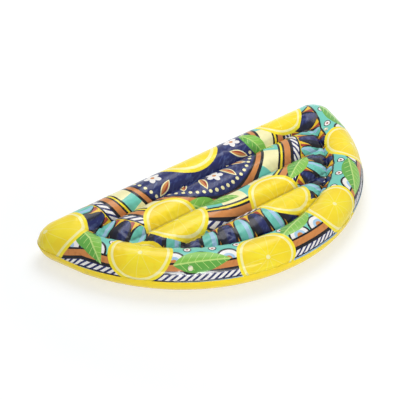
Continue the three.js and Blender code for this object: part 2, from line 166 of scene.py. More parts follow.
class Outline:
    """The D outline at one inset from the lip's edge: straight back, elliptical front, round corners."""

    def __init__(self, inset, corner):
        self.half_length = ARC_HALF_LENGTH - inset
        self.half_depth = ARC_HALF_DEPTH - inset
        self.corner = corner
        self.back_y = BACK_EDGE - inset
        self.corner_y = self.back_y - corner
        drop = (self.corner_y - ARC_CENTRE_Y) / (self.half_depth - corner)
        along = math.sqrt(1 - drop**2)
        self.corner_x = (self.half_length - corner) * along
        self.turn = math.atan2(drop / (self.half_depth - corner), along / (self.half_length - corner))

    def facing(self, angle):
        """The point whose outward direction makes this angle with +X."""
        if angle > self.turn:
            across, up = self.corner * math.cos(angle), self.corner * math.sin(angle)
            return (self.corner_x + across, self.corner_y + up)
        around = math.atan2(self.half_depth * math.sin(angle), self.half_length * math.cos(angle))
        return (self.half_length * math.cos(around), ARC_CENTRE_Y + self.half_depth * math.sin(around))

    def arc_x(self, y):
        return self.half_length * math.sqrt(1 - ((y - ARC_CENTRE_Y) / self.half_depth) ** 2)

    def arc_y(self, x):
        return ARC_CENTRE_Y - self.half_depth * math.sqrt(1 - (x / self.half_length) ** 2)

    def angle_at(self, x, y):
        return math.atan2((y - ARC_CENTRE_Y) / self.half_depth**2, x / self.half_length**2)


lip_edge = Outline(0, CORNER_RADIUS)
seam = Outline(LIP_WIDTH, CORNER_RADIUS - LIP_WIDTH)
weld = Outline(LIP_WIDTH + TUBE_WIDTH, WELD_CORNER_RADIUS)
RIB_PITCH = (weld.back_y - weld.arc_y(0)) * RIB_PITCH_SHARE
LONG_WEB_Y = weld.back_y - RIB_PITCH
SHORT_WEB_Y = LONG_WEB_Y - RIB_PITCH


def crowded(steps, both_ends=True):
    """Shares from 0 to 1 that lie closer together at both ends, or only at the far one."""
    even = np.linspace(0, 1, steps + 1)
    eased = (1 - np.cos(math.pi * even)) / 2 if both_ends else np.sin(math.pi / 2 * even)
    return (1 - CROWDING_SHARE) * even + CROWDING_SHARE * eased


def rows_across():
    """Rows of the first two ribs on the right-hand weld line, as (x, y, facing), and the long web's row."""
    rows = []
    for step in range(1, CORNER_STEPS + 1):
        angle = math.pi / 2 + (weld.turn - math.pi / 2) * step / CORNER_STEPS
        x, y = weld.facing(angle)
        rows.append((x, y, angle))

    def down_the_arc(start, end, shares):
        """Adds rows at all but the first of these shares of the way."""
        for share in shares[1:]:
            y = start + (end - start) * share
            rows.append((weld.arc_x(y), y, weld.angle_at(weld.arc_x(y), y)))

    down_the_arc(rows[-1][1], LONG_WEB_Y, crowded(FIRST_RIB_STEPS, both_ends=False))
    long_web_row = len(rows)
    down_the_arc(LONG_WEB_Y, SHORT_WEB_Y, crowded(RIB_STEPS))
    return rows, long_web_row


side_rows, LONG_WEB_ROW = rows_across()
SHORT_WEB_X = side_rows[-1][0]
column_shares = np.linspace(-1, 1, BACK_STEPS + 1)


def ring_columns():
    """Lip, seam and weld points of each column round the ring, clockwise from the back's left end."""
    columns = []
    for share in column_shares:
        x = share * weld.corner_x
        columns.append(((x, lip_edge.back_y), (x, seam.back_y), (x, weld.back_y)))

    def outward(x, y, angle, side):
        points = [outline.facing(angle) for outline in (lip_edge, seam)]
        return (*((side * px, py) for px, py in points), (x, y))

    for x, y, angle in side_rows:
        columns.append(outward(x, y, angle, 1))
    for share in column_shares[-2:0:-1]:
        x = share * SHORT_WEB_X
        y = weld.arc_y(x)
        columns.append(outward(x, y, weld.angle_at(abs(x), y), 1 if x > 0 else -1))
    for x, y, angle in side_rows[::-1]:
        columns.append(outward(-x, y, angle, -1))
    return np.array(columns)


columns = ring_columns()
RING = len(columns)
BACK = BACK_STEPS + 1
SIDE = len(side_rows)
FRONT = BACK - 2
FIRST_WELD = RING * (TUBE_STEPS + 1)
FIRST_INNER = RING * (TUBE_STEPS + 2)


def grid_faces(numbers):
    """Quads between rows of point numbers, with corners that coincide dropped."""
    faces = []
    for above, below in zip(numbers[:-1], numbers[1:]):
        for index in range(1, len(above)):
            corners = [above[index - 1], below[index - 1], below[index], above[index]]
            kept = list(dict.fromkeys(corners))
            if len(kept) > 2:
                faces.append(kept)
    return faces


def film_net():
    """The film's points in plan, the angles of its rows round the tube, its faces, and the ribs' grid."""
    angles = np.linspace(0, WELD_ANGLE, TUBE_STEPS + 1)
    shares = (1 - np.cos(angles)) / (1 - math.cos(WELD_ANGLE))
    plan = [columns[:, 0]] + [columns[:, 1] + (columns[:, 2] - columns[:, 1]) * share for share in shares]
    numbers = [np.arange(RING) + RING * row for row in range(len(plan))]
    faces = grid_faces([list(row) + [row[0]] for row in numbers])
    welded = numbers[-1]
    right = welded[BACK:BACK + SIDE]
    front = welded[BACK + SIDE:BACK + SIDE + FRONT][::-1]
    left = welded[BACK + SIDE + FRONT:][::-1]
    inner = []

    def row_between(first, points, last):
        """Keeps these inner points and gives the row of numbers from one weld point to the other."""
        start = FIRST_INNER + len(inner)
        inner.extend(points)
        return [first, *range(start, start + len(points)), last]

    grid = [list(welded[:BACK])]
    for index, (x, y, _) in enumerate(side_rows):
        points = [(share * x, y) for share in column_shares[1:-1]]
        grid.append(row_between(left[index], points, right[index]))
    faces += grid_faces(grid)
    lens = [grid[-1]]
    for share in crowded(RIB_STEPS)[1:-1]:
        line = column_shares[1:-1] * SHORT_WEB_X
        points = [(x, SHORT_WEB_Y + (weld.arc_y(x) - SHORT_WEB_Y) * share) for x in line]
        lens.append(row_between(grid[-1][0], points, grid[-1][-1]))
    lens.append([grid[-1][0], *front, grid[-1][-1]])
    faces += grid_faces(lens)
    return np.vstack(plan + [np.array(inner)]), angles, faces, grid


def triangles_of(faces):
    return np.array([(face[0], face[i - 1], face[i]) for face in faces for i in range(2, len(face))])


places, tube_angles, film_faces, rib_grid = film_net()
film_triangles = triangles_of(film_faces)


def corner_cotangents(points, triangles):
    """Edges of the triangles, the stiffness that each triangle gives them, and the area at each point."""
    edges = []
    stiffness = []
    for corner in range(3):
        tip = points[triangles[:, corner]]
        first = points[triangles[:, (corner + 1) % 3]] - tip
        second = points[triangles[:, (corner + 2) % 3]] - tip
        cross = np.abs(first[:, 0] * second[:, 1] - first[:, 1] * second[:, 0])
        stiffness.append((first * second).sum(axis=1) / np.maximum(cross, TINY) / 2)
        edges.append(triangles[:, [(corner + 1) % 3, (corner + 2) % 3]])
    area = np.bincount(triangles.ravel(), np.repeat(cross / 6, 3), len(points))
    return np.vstack(edges), np.concatenate(stiffness), area


def membrane(points, triangles, free):
    """Heights of a sheet under even pressure, held down wherever it isn't free."""
    edges, stiffness, area = corner_cotangents(points, triangles)
    start, end = edges[:, 0], edges[:, 1]
    count = len(points)
    diagonal = np.bincount(start, stiffness, count) + np.bincount(end, stiffness, count)

    def pull(height):
        spread = diagonal * height
        spread -= np.bincount(start, stiffness * height[end], count)
        spread -= np.bincount(end, stiffness * height[start], count)
        return spread * free

    height = np.zeros(count)
    rest = area * free
    scale = np.where(diagonal > 0, 1 / np.maximum(diagonal, TINY), 0)
    step = rest * scale
    fit = (rest * step).sum()
    for _ in range(SOLVER_ROUNDS):
        pulled = pull(step)
        reach = fit / (step * pulled).sum()
        height += reach * step
        rest = rest - reach * pulled
        eased = rest * scale
        renewed = (rest * eased).sum()
        if renewed < SOLVER_REST:
            break
        step = eased + renewed / fit * step
        fit = renewed
    return height


def web_points():
    """Numbers of the points along the two webs, which stop a little short of the ring."""
    numbers = []
    for row, x in ((LONG_WEB_ROW, side_rows[LONG_WEB_ROW - 1][0]), (len(rib_grid) - 1, SHORT_WEB_X)):
        numbers += [number for number in rib_grid[row] if abs(places[number][0]) <= x * WEB_LENGTH_SHARE]
    return numbers


def weld_reach(y):
    """How far to each side the ring weld's arc lies at these places in depth."""
    share = (y - ARC_CENTRE_Y) / weld.half_depth
    return weld.half_length * np.sqrt(np.maximum(1 - share**2, 0))


def rib_heights():
    """Height of the inner film over its welds, which the webs hold down to just short of the ring."""
    free = np.zeros(len(places))
    free[FIRST_INNER:] = 1
    free[web_points()] = 0
    inner = film_triangles[(film_triangles >= FIRST_WELD).all(axis=1)]
    pressed = np.maximum(membrane(places, inner, free), 0)
    from_end = np.maximum(weld_reach(places[:, 1]) - np.abs(places[:, 0]), 0)
    middle = 1 - np.exp(-((from_end / RIB_END_REACH) ** 2))
    shoulder = RIB_END_SHOULDER + (RIB_SHOULDER - RIB_END_SHOULDER) * middle
    full = np.sqrt(shoulder**2 + RIB_PITCH**2 / 4) - shoulder
    return RIB_CROWN * (np.sqrt(shoulder**2 + 2 * pressed) - shoulder) / full


def smooth_form(ribs):
    """Points of the upper sheet when it is full of air and has no creases."""
    heights = np.empty(len(places))
    heights[:RING] = LIP_TOP
    for row, angle in enumerate(tube_angles):
        heights[RING * (row + 1):RING * (row + 2)] = max(LIP_TOP, TUBE_RADIUS * math.sin(angle))
    heights[FIRST_INNER:] = WELD_HALF_HEIGHT + ribs[FIRST_INNER:]
    return np.column_stack([places, MID_HEIGHT + heights])


def point_normals(points, triangles):
    first = points[triangles[:, 1]] - points[triangles[:, 0]]
    second = points[triangles[:, 2]] - points[triangles[:, 0]]
    cross = np.cross(first, second)
    normals = np.zeros_like(points)
    for corner in range(3):
        for axis in range(3):
            normals[:, axis] += np.bincount(triangles[:, corner], cross[:, axis], len(points))
    return normals / np.maximum(np.linalg.norm(normals, axis=1), TINY)[:, None]


def film_facts():
    """Each point's distance along the ring, from the seam and from the nearest weld, and each inner
    point's distance from the ring weld and from the webs."""
    steps = np.linalg.norm(np.roll(columns[:, 2], -1, axis=0) - columns[:, 2], axis=1)
    ring_along = np.concatenate([[0], np.cumsum(steps)[:-1]])
    along = np.zeros(len(places))
    from_seam = np.full(len(places), FAR_AWAY)
    from_weld = np.zeros(len(places))
    along[:FIRST_INNER] = np.tile(ring_along, TUBE_STEPS + 2)
    from_seam[:RING] = -LIP_WIDTH
    from_weld[:RING] = TUBE_FILM_WIDTH
    for row, angle in enumerate(tube_angles):
        part = slice(RING * (row + 1), RING * (row + 2))
        from_seam[part] = TUBE_RADIUS * angle
        from_weld[part] = TUBE_FILM_WIDTH - TUBE_RADIUS * angle
    x, y = np.abs(places[FIRST_INNER:, 0]), places[FIRST_INNER:, 1]
    front = ARC_CENTRE_Y - weld.half_depth * np.sqrt(1 - (x / weld.half_length) ** 2)
    from_ring = np.minimum(np.minimum(weld.back_y - y, weld_reach(y) - x), y - front)
    from_web = np.minimum(np.abs(y - LONG_WEB_Y), np.abs(y - SHORT_WEB_Y))
    from_weld[FIRST_INNER:] = np.minimum(from_ring, from_web)
    return along, from_seam, from_weld, from_ring, from_web


along_ring, from_seam, from_weld, from_ring, from_web = film_facts()


def flat_places():
    """Each point's place in the flat cut sheet, where the tube's film opens out past the weld."""
    flat = places.copy()
    out = columns[:, 1] - columns[:, 2]
    out /= np.linalg.norm(out, axis=1)[:, None]
    for row in range(TUBE_STEPS + 2):
        part = slice(RING * row, RING * (row + 1))
        reach = TUBE_FILM_WIDTH - from_seam[part]
        flat[part] = columns[:, 2] + out * reach[:, None]
    return flat


def near_corner():
    """1 at the ring's two inner corners, fading to 0 about a hand's width away."""
    x = (np.abs(places[:, 0]) - INNER_CORNER[0]) / INNER_CORNER_REACH[0]
    y = (places[:, 1] - INNER_CORNER[1]) / INNER_CORNER_REACH[1]
    return np.exp(-(x**2) - y**2)


def toward_ends():
    """0 along the middle of the lounger and 1 round its two curved ends."""
    x = (np.abs(places[:, 0]) - ENDS_START[0]) / ENDS_FADE[0]
    y = (ENDS_START[1] - places[:, 1]) / ENDS_FADE[1]
    return np.clip(x, 0, 1) * np.clip(y, 0, 1)


def ripple(along, lengths, seed):
    """A smooth uneven wave of height about 1, made of a few sines of the given lengths."""
    random = np.random.default_rng(seed)
    total = np.zeros_like(along)
    for length in lengths:
        phase = random.uniform(0, 2 * math.pi)
        total += np.sin(2 * math.pi * along / length + phase)
    return total / math.sqrt(len(lengths))


def folds(kind, depth, seed, along, away):
    """Folds across a weld: none on the weld itself, highest close to it and gone further out."""
    lengths, rise, fade = kind
    return ripple(along, lengths, seed) * depth * (np.exp(-away / fade) * (1 - np.exp(-away / rise)))


def creases():
    """Shallow folds in from the welds, which the air then deepens or pulls flat."""
    lift = np.zeros(len(places))
    ring, inner = slice(2 * RING, FIRST_INNER), slice(FIRST_INNER, None)
    seam_depth = SEAM_FOLD_DEPTH + SEAM_CORNER_DEPTH * near_corner()
    ring_depth = RING_FOLD_DEPTH + RING_END_DEPTH * np.maximum(near_corner(), toward_ends())
    lift[ring] += folds(SEAM_FOLDS, seam_depth, FOLD_SEED, along_ring, from_seam)[ring]
    lift[ring] += folds(RING_FOLDS, ring_depth, FOLD_SEED + 1, along_ring, from_weld)[ring]
    x, y = places[inner, 0], places[inner, 1]
    shifted = x + WEB_FOLD_SHIFT * np.sign(y)
    lift[inner] += folds(RIB_END_FOLDS, RIB_END_FOLD_DEPTH, FOLD_SEED + 2, y, from_ring)
    lift[inner] += folds(WEB_FOLDS, WEB_FOLD_DEPTH, FOLD_SEED + 3, shifted, from_web)
    return lift


def near_line(away, reach):
    """1 on a line, fading to 0 about twice this reach away."""
    return np.exp(-((away / reach) ** 2))


def slackness():
    """How slack the film is cut: 1 where its folds gather at the welds, 0 over the crowns."""
    from_loop = from_weld.copy()
    from_loop[FIRST_INNER:] = from_ring
    from_line = np.full(len(places), FAR_AWAY)
    from_line[FIRST_INNER:] = from_web
    at_ring = np.maximum(RING_SLACK_SHARE + RING_END_SLACK_SHARE * toward_ends(), near_corner())
    at_ring *= near_line(from_loop, RING_SLACK_REACH)
    at_web = WEB_SLACK_SHARE + WEB_END_SLACK_SHARE * toward_ends()
    at_web *= near_line(from_line, WEB_SLACK_REACH)
    at_seam = SEAM_SLACK_SHARE * near_line(np.maximum(from_seam, 0), SEAM_SLACK_REACH)
    at_seam[FIRST_INNER:] = 0
    return np.clip(np.maximum(np.maximum(at_ring, at_web), at_seam), 0, 1)


def held_points():
    """Points that don't move: at the lip, the ring weld, the webs and the chamber walls."""
    held = np.zeros(len(places), bool)
    held[:2 * RING] = True
    held[FIRST_WELD:FIRST_INNER] = True
    held[web_points()] = True
    for wall in (BACK + LONG_WEB_ROW - 1, RING - LONG_WEB_ROW):
        held[wall:FIRST_INNER:RING] = True
    return held


def placed(name, data):
    """A new object of this data, in the scene."""
    piece = bpy.data.objects.new(name, data)
    bpy.context.scene.collection.objects.link(piece)
    return piece


def mesh_piece(name, points, faces):
    """A new object whose mesh has these points and faces."""
    data = bpy.data.meshes.new(name)
    data.from_pydata(points, [], faces)
    return placed(name, data)


def blown_by_air(points):
    """The film's points after a cloth simulation under air pressure, none moved further than the cap."""
    scene = bpy.context.scene
    piece = mesh_piece("blown", points.tolist(), film_faces)
    held = piece.vertex_groups.new(name="held")
    held.add(np.nonzero(held_points())[0].tolist(), 1.0, "REPLACE")
    taut = piece.vertex_groups.new(name="taut")
    for number, slack in enumerate(slackness().tolist()):
        taut.add([number], 1 - slack, "REPLACE")
    cloth = piece.modifiers.new("air", "CLOTH")
    cloth.collision_settings.use_collision = False
    cloth.point_cache.frame_start, cloth.point_cache.frame_end = 1, AIR_FRAMES
    film = cloth.settings
    film.quality = CLOTH_QUALITY
    film.mass = POINT_MASS
    film.tension_stiffness = film.compression_stiffness = FILM_STIFFNESS
    film.shear_stiffness = FILM_SHEAR_STIFFNESS
    film.bending_stiffness = FILM_BENDING
    film.air_damping = AIR_DAMPING
    film.vertex_group_mass = "held"
    film.vertex_group_shrink = "taut"
    film.shrink_min = -SLACK_AT_WELDS
    film.shrink_max = -SLACK_ELSEWHERE
    film.use_pressure = True
    film.uniform_pressure_force = AIR_PRESSURE
    film.effector_weights.gravity = 0
    for step in range(1, AIR_FRAMES + 1):
        scene.frame_set(step)
    shown = piece.evaluated_get(bpy.context.evaluated_depsgraph_get())
    moved = np.array([vertex.co for vertex in shown.data.vertices]) - points
    scene.frame_set(1)
    data = piece.data
    bpy.data.objects.remove(piece)
    bpy.data.meshes.remove(data)
    length = np.linalg.norm(moved, axis=1)[:, None]
    return points + moved * np.minimum(1, LARGEST_MOVE / np.maximum(length, TINY))


def film_points():
    """The upper sheet's points, and the lower sheet's: the same film turned end for end, on the floor."""
    upper = smooth_form(rib_heights())
    upper += point_normals(upper, film_triangles) * creases()[:, None]
    upper = blown_by_air(upper)
    lower = upper * (-1, 1, -1) + (0, 0, 2 * MID_HEIGHT)
    lower[:, 2] = np.maximum(lower[:, 2], 0)
    return upper, lower


def valve_seats():
    """Each valve's place on the film's top and its outward direction, from its packed stem and joint."""
    seats = []
    for joint in frame["joints"]:
        if joint["type"] != "slide":
            continue
        out = Vector(joint["axis"]).normalized()
        stem = frame["nodes"][joint["name"].replace("_stem_push", "_valve_stem")]
        points = [vertex.co for vertex in stem.data.vertices]
        middle = sum(points, Vector()) / len(points)
        top = max(point.dot(out) for point in points)
        seats.append((middle + out * (top - STEM_STANDS_OUT - middle.dot(out)), out))
    return seats


def seat_in(mesh, centre, out):
    """Refines the film round a valve, flattens it on the seat, and opens its round hole."""
    for radius in SEAT_REFINE_RADII:
        near = [face for face in mesh.faces if (face.calc_center_median() - centre).length < radius]
        edges = list({edge for face in near for edge in face.edges})
        bmesh.ops.subdivide_edges(mesh, edges=edges, cuts=1, use_grid_fill=True)
    bmesh.ops.triangulate(mesh, faces=[face for face in mesh.faces if len(face.verts) > 4])

    def split(vertex):
        """A point's offset across the seat and its height over it."""
        offset = vertex.co - centre
        height = offset.dot(out)
        return offset - out * height, height

    for vertex in mesh.verts:
        if (vertex.co - centre).length > SEAT_SEARCH_RADIUS:
            continue
        across, height = split(vertex)
        share = (across.length - FLANGE_RADIUS) / (SEAT_BLEND_RADIUS - FLANGE_RADIUS)
        share = min(max(share, 0), 1)
        kept = share * share * (3 - 2 * share)
        rim = SEAT_RIM_HEIGHT if across.length < FLANGE_RADIUS else 0
        vertex.co = centre + across + out * (height * kept + rim)

    def inside_hole(face):
        furthest = max(split(vertex)[0].length for vertex in face.verts)
        return furthest < FILM_HOLE_RADIUS + HOLE_MARGIN

    bmesh.ops.delete(mesh, geom=[face for face in mesh.faces if inside_hole(face)], context="FACES")
    for vertex in mesh.verts:
        if not vertex.is_boundary or (vertex.co - centre).length > FLANGE_RADIUS:
            continue
        across, height = split(vertex)
        vertex.co = centre + across.normalized() * FILM_HOLE_RADIUS + out * height


def film_object(name, points, seats):
    """One sheet of film as a closed skin, with its flat place and its distance from the welds kept."""
    piece = mesh_piece(name, points.tolist(), film_faces)
    data = piece.data
    flat = data.attributes.new("flat", "FLOAT_VECTOR", "POINT")
    flat.data.foreach_set("vector", np.column_stack([flat_places(), from_seam]).ravel())
    welds = data.attributes.new("from_weld", "FLOAT", "POINT")
    welds.data.foreach_set("value", from_weld)
    mesh = bmesh.new()
    mesh.from_mesh(data)
    for centre, out in seats:
        seat_in(mesh, centre, out)
    for face in mesh.faces:
        face.smooth = True
    mesh.to_mesh(data)
    mesh.free()
    skin = piece.modifiers.new("skin", "SOLIDIFY")
    skin.thickness = FILM_THICKNESS
    skin.offset = -1
    return piece


class Wire:
    """A number in a node tree. Sums and comparisons make Math nodes, and & and | join masks of 0 to 1."""

    def __init__(self, tree, socket):
        self.tree = tree
        self.socket = socket

    def math(self, operation, *others):
        node = self.tree.nodes.new("ShaderNodeMath")
        node.operation = operation
        for socket, value in zip(node.inputs, (self, *others)):
            if isinstance(value, Wire):
                self.tree.links.new(value.socket, socket)
            else:
                socket.default_value = value
        return Wire(self.tree, node.outputs[0])

    def __add__(self, other):
        return self.math("ADD", other)

    def __sub__(self, other):
        return self.math("SUBTRACT", other)

    def __mul__(self, other):
        return self.math("MULTIPLY", other)

    def __truediv__(self, other):
        return self.math("DIVIDE", other)

    def __lt__(self, other):
        return self.math("LESS_THAN", other)

    def __gt__(self, other):
        return self.math("GREATER_THAN", other)

    def __and__(self, other):
        return self.math("MULTIPLY", other)

    def __or__(self, other):
        return self.math("MAXIMUM", other)

    def __neg__(self):
        return self.math("MULTIPLY", -1)

    def abs(self):
        return self.math("ABSOLUTE")

    def root(self):
        return self.math("SQRT")

    def fraction(self):
        return self.math("FRACT")

    def at_least(self, low):
        return self.math("MAXIMUM", low)

    def at_most(self, high):
        return self.math("MINIMUM", high)

    def between(self, low, high):
        return (self > low) & (self < high)


def linear(code):
    """A colour written as six hex digits, as linear RGBA."""
    parts = [int(code[i:i + 2], 16) / 255 for i in (0, 2, 4)]
    return (*(p / 12.92 if p <= 0.04045 else ((p + 0.055) / 1.055) ** 2.4 for p in parts), 1)


# Colours of the print, as hex digits
YELLOW = "FBE62E"
DEEP_YELLOW = "F0C522"
PITH = "FBF3A6"
FLESH = "FBE127"
WALL = "FBE95E"
INK = "0C0D16"
NAVY = "1B2560"
NAVY_BRUSHED = "7F97D0"
TEAL = "72CCBC"
TEAL_BRUSHED = "3C9A8C"
ORANGE = "D2894A"
ORANGE_BRUSHED = "B0652C"
SKY = "A4CBE6"
WHITE = "F3F0EC"
RED = "A8402E"
LEAF = "86C552"
LEAF_DARK = "64AC48"
LEAF_VEIN = "BFE080"
CREAM = "F6F0B8"

# Colours of the plain film, and the two of the milky film inside and of the valves
BOTTOM_YELLOW = "FDDC20"
MILKY_COLOURS = ("ECEAE0", "F6F4EC")
VINYL_COLOURS = ("F6EFC0", "FBF8E2")

# A Mix node's sockets for each kind of value: under, over and the result
MIX_SOCKETS = {"VECTOR": (4, 5, 1), "RGBA": (6, 7, 2)}


def mix_of(tree, kind):
    """A new Mix node, and its sockets for those three."""
    node = tree.nodes.new("ShaderNodeMix")
    node.data_type = kind
    under, over, result = MIX_SOCKETS[kind]
    return node, node.inputs[under], node.inputs[over], node.outputs[result]


class Paint:
    """Layers of colour, each laid over the last where its mask is 1."""

    def __init__(self, tree, ground):
        self.tree = tree
        self.socket = None
        self.ground = linear(ground)

    def lay(self, colour, mask):
        node, under, over, result = mix_of(self.tree, "RGBA")
        self.tree.links.new(mask.socket, node.inputs["Factor"])
        if self.socket is None:
            under.default_value = self.ground
        else:
            self.tree.links.new(self.socket, under)
        over.default_value = linear(colour)
        self.socket = result


def new_material(name):
    material = bpy.data.materials.new(name)
    material.use_nodes = True
    tree = material.node_tree
    return material, tree, tree.nodes["Principled BSDF"]


def parts_of(tree, vector):
    node = tree.nodes.new("ShaderNodeSeparateXYZ")
    tree.links.new(vector, node.inputs[0])
    return [Wire(tree, output) for output in node.outputs]


def attribute(tree, name):
    node = tree.nodes.new("ShaderNodeAttribute")
    node.attribute_name = name
    return node


def noise(tree, kind, vector=None):
    """Soft noise of this scale and detail, from 0 to 1."""
    node = tree.nodes.new("ShaderNodeTexNoise")
    node.inputs["Scale"].default_value, node.inputs["Detail"].default_value = kind
    if vector is None:
        vector = tree.nodes.new("ShaderNodeTexCoord").outputs["Object"]
    tree.links.new(vector, node.inputs["Vector"])
    return Wire(tree, node.outputs[0])


def moved_to(tree, vector, centre, turn, size):
    """Coordinates in a motif of this place, turn in degrees and half-size."""
    node = tree.nodes.new("ShaderNodeMapping")
    node.vector_type = "TEXTURE"
    node.inputs["Location"].default_value = (*centre, 0)
    node.inputs["Rotation"].default_value = (0, 0, math.radians(turn))
    node.inputs["Scale"].default_value = (*size, 1)
    tree.links.new(vector, node.inputs["Vector"])
    return node.outputs[0]


def choose(tree, mask, covering, covered):
    """The covering vector where the mask is 1, and the covered one elsewhere."""
    node, under, over, result = mix_of(tree, "VECTOR")
    tree.links.new(mask.socket, node.inputs["Factor"])
    tree.links.new(covered, under)
    tree.links.new(covering, over)
    return result


def any_of(tree, vector, motifs, covers):
    """Local coordinates in whichever of many like motifs covers a point, and where any does."""
    chosen, found = None, None
    for centre, turn, size in motifs:
        local = moved_to(tree, vector, centre, turn, size)
        x, y, _ = parts_of(tree, local)
        mask = covers(x, y)
        chosen = local if chosen is None else choose(tree, mask, local, chosen)
        found = mask if found is None else found | mask
    return parts_of(tree, chosen)[:2], found


def length_of(x, y):
    return (x * x + y * y).root()


def bulge(x, height=1):
    """This height in the middle of a motif, falling to 0 toward its two ends."""
    return (-(x * x) + height).at_least(0)


# The print's rings: half a rosette of generic bands, with its centre in the middle of the back edge
PRINT_CENTRE_Y = 0.45
SKY_RADIUS = 0.94
OUTER_ROPE_RADIUS, OUTER_ROPE_STRIPES = 0.926, 170
OUTER_BAND, OUTER_BAND_LINE = (0.868, 0.896), 0.009
SCALLOP_BAND, SCALLOPS = (0.74, 0.86), 44
PETAL_BAND, PETALS = (0.585, 0.745), 52
PETAL_RIM = (0.741, 0.75)
INNER_ROPE_RADIUS, INNER_ROPE_STRIPES = 0.56, 90
INNER_BAND, INNER_BAND_LINE = (0.5, 0.53), 0.010
CHECK_BAND, CHECKS, CHECK_LEVEL = (0.4, 0.47), 14, 0.45
MEDALLION_RADIUS, MEDALLION_BAND, MEDALLION_FIELD_RADIUS = 0.394, (0.364, 0.386), 0.355
MEDALLION_BRUSHED_RADIUS = 0.35
MEDALLION_BEADS_RADIUS, MEDALLION_BEADS = 0.333, 64

# Details of the rings, as shares of their width or cell where the name says so
ROPE_HALF_WIDTH = 0.014
ROPE_LINE_SHARE, ROPE_GROUND_SHARE, ROPE_WHITE_SHARE = 1.6, 1.15, 0.56
PETAL_HALF_SHARE, PETAL_FILL_SHARE = 0.52, 0.75
PETAL_STRIPE_SHARES, PETAL_STRIPE_END_SHARE = (0.06, 0.3), 0.66
PETAL_SHADE_SLOPE, PETAL_SHADE_MOST = -6, 0.85
SCALLOP_SHARES = ((INK, 0.48), (WHITE, 0.4), (SKY, 0.24), (ORANGE, 0.13))
BEAD_PLACE_SHARE = 0.36
EYED_BEAD = ((INK, 0.019), (WHITE, 0.0145), (RED, 0.006))
PLAIN_BEAD = ((CREAM, 0.0085),)
STROKE_NOISE, STROKE_TURN, STROKE_STRETCH, STROKE_CONTRAST = (26.0, 4.0), 35, (1, 0.35), 6
NAVY_STROKES, TEAL_STROKES, ORANGE_STROKES = 0.22, 0.3, 0.5

# Motifs scattered on the rings: places on the flat film with turns in degrees, and half-sizes
WHEELS = (
    ((-0.80, 0.34), 0), ((-0.64, -0.06), 20), ((-0.20, -0.42), 5), ((0.28, -0.34), 12),
    ((0.72, -0.02), 33), ((0.56, 0.42), 50), ((-0.34, 0.06), 25), ((0.14, -0.10), 8),
)
LARGE_WHEELS = (((0.0, 0.49), 14),)
WHEEL_SIZE, LARGE_WHEEL_SIZE = (0.145, 0.145), (0.19, 0.19)
LARGE_LEAVES = (((-0.46, -0.27), 150), ((0.03, -0.33), 20), ((0.52, -0.22), 55))
LEAVES = (((0.80, 0.20), 100), ((-0.76, 0.14), 70), ((0.36, 0.02), 30), ((-0.12, 0.06), 150))
SMALL_LEAVES = (((0.34, 0.30), 110),)
LARGE_LEAF_SIZE, LEAF_SIZE, SMALL_LEAF_SIZE = (0.13, 0.05), (0.12, 0.045), (0.11, 0.042)
BLOSSOMS = (((-0.24, 0.38), 0), ((0.24, 0.38), 12), ((0.0, 0.2), 30))
BLOSSOM_SIZE = (0.045, 0.045)
DROP_TURNS = (-56, -36, -16, 16, 36, 56)
DROP_AWAY = 0.272
DROP_SIZE = (0.05, 0.018)

# Details of the motifs, in shares of their half-size
FLESH_SHARE, PITH_SHARE, CORE_SHARE = 0.82, 0.9, 0.07
SEGMENTS = 10
SEGMENT_WALL_SHARES, SEGMENT_WALL_HALF = (0.1, 0.78), 0.05
FLESH_NOISE = (9.0, 3.0)
FLESH_SHADE_START, FLESH_SHADE, FLESH_SHADE_TILT = 0.35, 0.6, 0.5
LEAF_TAPER, LEAF_VEINS, LEAF_VEIN_SLANT, LEAF_VEIN_SHARE = 0.25, 4, 1.2, 0.09
LEAF_VEIN_REACH, LEAF_MIDRIB_HALF = 0.7, 0.07
DROP_FILL_HEIGHT, DROP_FILL_SHARE, DROP_RED_FROM = 0.72, 0.9, 0.1
BLOSSOM_REACH, BLOSSOM_LOW, BLOSSOM_SWELL, BLOSSOM_HEART = 1.3, 0.5, 0.45, 0.22
BLOSSOM_PETALS = 5


def ring_turns(angle, count):
    """The angle in cells of a ring that has this many."""
    return angle * (count / (2 * math.pi))


def rope(paint, radius, angle, middle, stripes):
    """A twisted border: slanting white stripes on navy, with a dark line on each side."""
    away = (radius - middle).abs()
    paint.lay(INK, away < ROPE_HALF_WIDTH * ROPE_LINE_SHARE)
    paint.lay(NAVY, away < ROPE_HALF_WIDTH * ROPE_GROUND_SHARE)
    slant = ring_turns(angle, stripes) + (radius - middle) / (ROPE_HALF_WIDTH * 2)
    paint.lay(WHITE, (away < ROPE_HALF_WIDTH) & (slant.fraction() < ROPE_WHITE_SHARE))


def brush_strokes(tree, place):
    """Loose slanting strokes, as painted ware has: from 0 between them to 1 along them."""
    strokes = noise(tree, STROKE_NOISE, moved_to(tree, place, (0, 0), STROKE_TURN, STROKE_STRETCH))
    return ((strokes - 0.5) * STROKE_CONTRAST).at_least(0).at_most(1)


